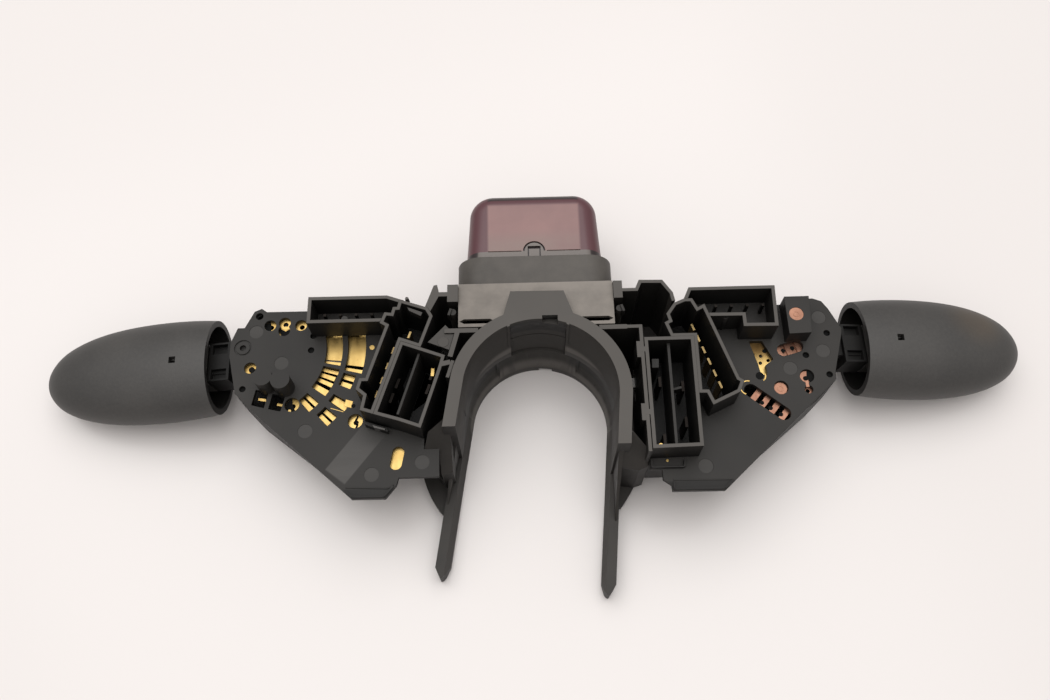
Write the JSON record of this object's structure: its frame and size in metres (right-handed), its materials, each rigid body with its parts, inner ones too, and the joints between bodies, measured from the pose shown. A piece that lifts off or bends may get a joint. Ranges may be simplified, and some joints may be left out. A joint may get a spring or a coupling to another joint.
{
  "type": "combination stalk switch",
  "caption": "Steering column switch: a clamp ring carrier holds a wiper and an indicator stalk switch, their connector and relay sockets, and a hazard push button.",
  "frame": {"origin": "on the column axis, at the ring's front edge, which is the side towards the steering wheel and the face that the object rests on", "axes": "+Z runs along the column from the steering wheel side to the rear, where the connectors open; +Y points to the hazard button; +X points to the indicator stalk"},
  "size_m": [0.3881, 0.157, 0.046],
  "materials": {
    "carrier_plastic": "glass-filled nylon, matt, dark warm grey",
    "hazard_base_plastic": "glass-filled nylon, matt, taupe grey",
    "hazard_collar_plastic": "matt dark grey",
    "hazard_button_plastic": "dull translucent maroon red",
    "inner_plastic": "natural acetal, off-white",
    "lamp_glass": "clear glass",
    "brass": "stamped brass, bright",
    "tinned_brass": "tinned brass, soft sheen",
    "copper": "copper, slightly pink",
    "spring_steel": "spring wire",
    "steel": "ground steel",
    "screw_steel": "zinc-plated steel",
    "cover_plastic": "glass-filled nylon, matt, near black",
    "contact_plate_plastic": "glass-filled nylon, matt, dark grey-brown",
    "socket_plastic": "glass-filled nylon, matt, dark grey-brown",
    "housing_plastic": "glass-filled nylon, matt, dark grey-brown",
    "lever_plastic": "glass-filled nylon, matt, dark grey",
    "grip_plastic": "fine-grained soft black plastic"
  },
  "bodies": {
    "root": {"cancel_pawl_pin": "steel", "column_carrier": "carrier_plastic", "hazard_base": "hazard_base_plastic", "hazard_collar": "hazard_collar_plastic", "hazard_fixed_contacts": "brass", "hazard_lamp": "lamp_glass", "hazard_lamp_holder": "inner_plastic", "hazard_springs": "spring_steel", "indicator_contact_plate": "contact_plate_plastic", "indicator_cover_screws": "screw_steel", "indicator_detent_cam": "inner_plastic", "indicator_front_cover": "cover_plastic", "indicator_harness_pins": "tinned_brass", "indicator_harness_socket": "socket_plastic", "indicator_housing": "housing_plastic", "indicator_relay_blades": "tinned_brass", "indicator_relay_socket": "socket_plastic", "indicator_top_pins": "tinned_brass", "indicator_top_socket": "socket_plastic", "wiper_contact_plate": "contact_plate_plastic", "wiper_cover_screws": "screw_steel", "wiper_detent_cam": "inner_plastic", "wiper_front_cover": "cover_plastic", "wiper_harness_pins": "tinned_brass", "wiper_harness_socket": "socket_plastic", "wiper_housing": "housing_plastic", "wiper_relay_blades": "tinned_brass", "wiper_relay_socket": "socket_plastic", "wiper_top_pins": "tinned_brass", "wiper_top_socket": "socket_plastic", "indicator_pads": "copper", "wiper_tracks": "brass"},
    "hazard_button_body": {"hazard_button": "hazard_button_plastic", "hazard_plunger": "inner_plastic", "hazard_contact_bridge": "brass"},
    "cancel_pawl_body": {"cancel_pawl": "inner_plastic"},
    "wiper_rotor_body": {"wiper_rotor": "inner_plastic", "wiper_contact_bridge": "brass", "wiper_pivot_pin": "steel"},
    "wiper_stalk_body": {"wiper_lever": "lever_plastic", "wiper_grip": "grip_plastic", "wiper_detent_spring": "spring_steel"},
    "wiper_plunger_body": {"wiper_detent_plunger": "inner_plastic"},
    "wiper_slider_body": {"wiper_pull_slider": "inner_plastic"},
    "indicator_rotor_body": {"indicator_rotor": "inner_plastic", "indicator_contact_bridge": "brass", "indicator_pivot_pin": "steel"},
    "indicator_stalk_body": {"indicator_lever": "lever_plastic", "indicator_grip": "grip_plastic", "indicator_detent_spring": "spring_steel"},
    "indicator_plunger_body": {"indicator_detent_plunger": "inner_plastic"},
    "indicator_slider_body": {"indicator_pull_slider": "inner_plastic"}
  },
  "joints": [
    {"name": "hazard_push", "type": "slide", "parent": "root", "child": "hazard_button_body", "axis": [0, -1, 0], "range_m": [0, 0.0045], "stiffness_N_per_m": 900, "springref_m": -0.002, "deforming": ["hazard_springs"]},
    {"name": "cancel_pawl_swing", "type": "hinge", "parent": "root", "child": "cancel_pawl_body", "pos_m": [0.0775, 0.015, 0.0168], "axis": [0, 0, 1], "range_deg": [-6, 6], "stiffness_Nm_per_rad": 0.02},
    {"name": "wiper_swing", "type": "hinge", "parent": "root", "child": "wiper_rotor_body", "pos_m": [-0.1075, 0.024, 0.022], "axis": [0, 0, 1], "range_deg": [-21, 7]},
    {"name": "wiper_pull", "type": "hinge", "parent": "wiper_rotor_body", "child": "wiper_stalk_body", "pos_m": [-0.1075, 0.024, 0.022], "axis": [0, -1, 0], "range_deg": [0, 5], "stiffness_Nm_per_rad": 8},
    {"name": "wiper_detent", "type": "slide", "parent": "wiper_stalk_body", "child": "wiper_plunger_body", "axis": [-1, 0, 0], "range_m": [0, 0.0012], "stiffness_N_per_m": 500, "deforming": ["wiper_detent_spring"]},
    {"name": "wiper_contact_slide", "type": "slide", "parent": "root", "child": "wiper_slider_body", "axis": [0, 0, 1], "range_m": [0, 0.00123]},
    {"name": "indicator_swing", "type": "hinge", "parent": "root", "child": "indicator_rotor_body", "pos_m": [0.1058, 0.0245, 0.022], "axis": [0, 0, 1], "range_deg": [-10, 10]},
    {"name": "indicator_pull", "type": "hinge", "parent": "indicator_rotor_body", "child": "indicator_stalk_body", "pos_m": [0.1058, 0.0245, 0.022], "axis": [0, 1, 0], "range_deg": [-5, 5], "stiffness_Nm_per_rad": 8},
    {"name": "indicator_detent", "type": "slide", "parent": "indicator_stalk_body", "child": "indicator_plunger_body", "axis": [1, 0, 0], "range_m": [0, 0.0012], "stiffness_N_per_m": 500, "deforming": ["indicator_detent_spring"]},
    {"name": "indicator_contact_slide", "type": "slide", "parent": "root", "child": "indicator_slider_body", "axis": [0, 0, 1], "range_m": [-0.00123, 0.00123]}
  ],
  "couplings": [
    {"joint": "wiper_contact_slide", "follows": "wiper_pull", "m_per_rad": 0.014},
    {"joint": "indicator_contact_slide", "follows": "indicator_pull", "m_per_rad": 0.014}
  ]
}
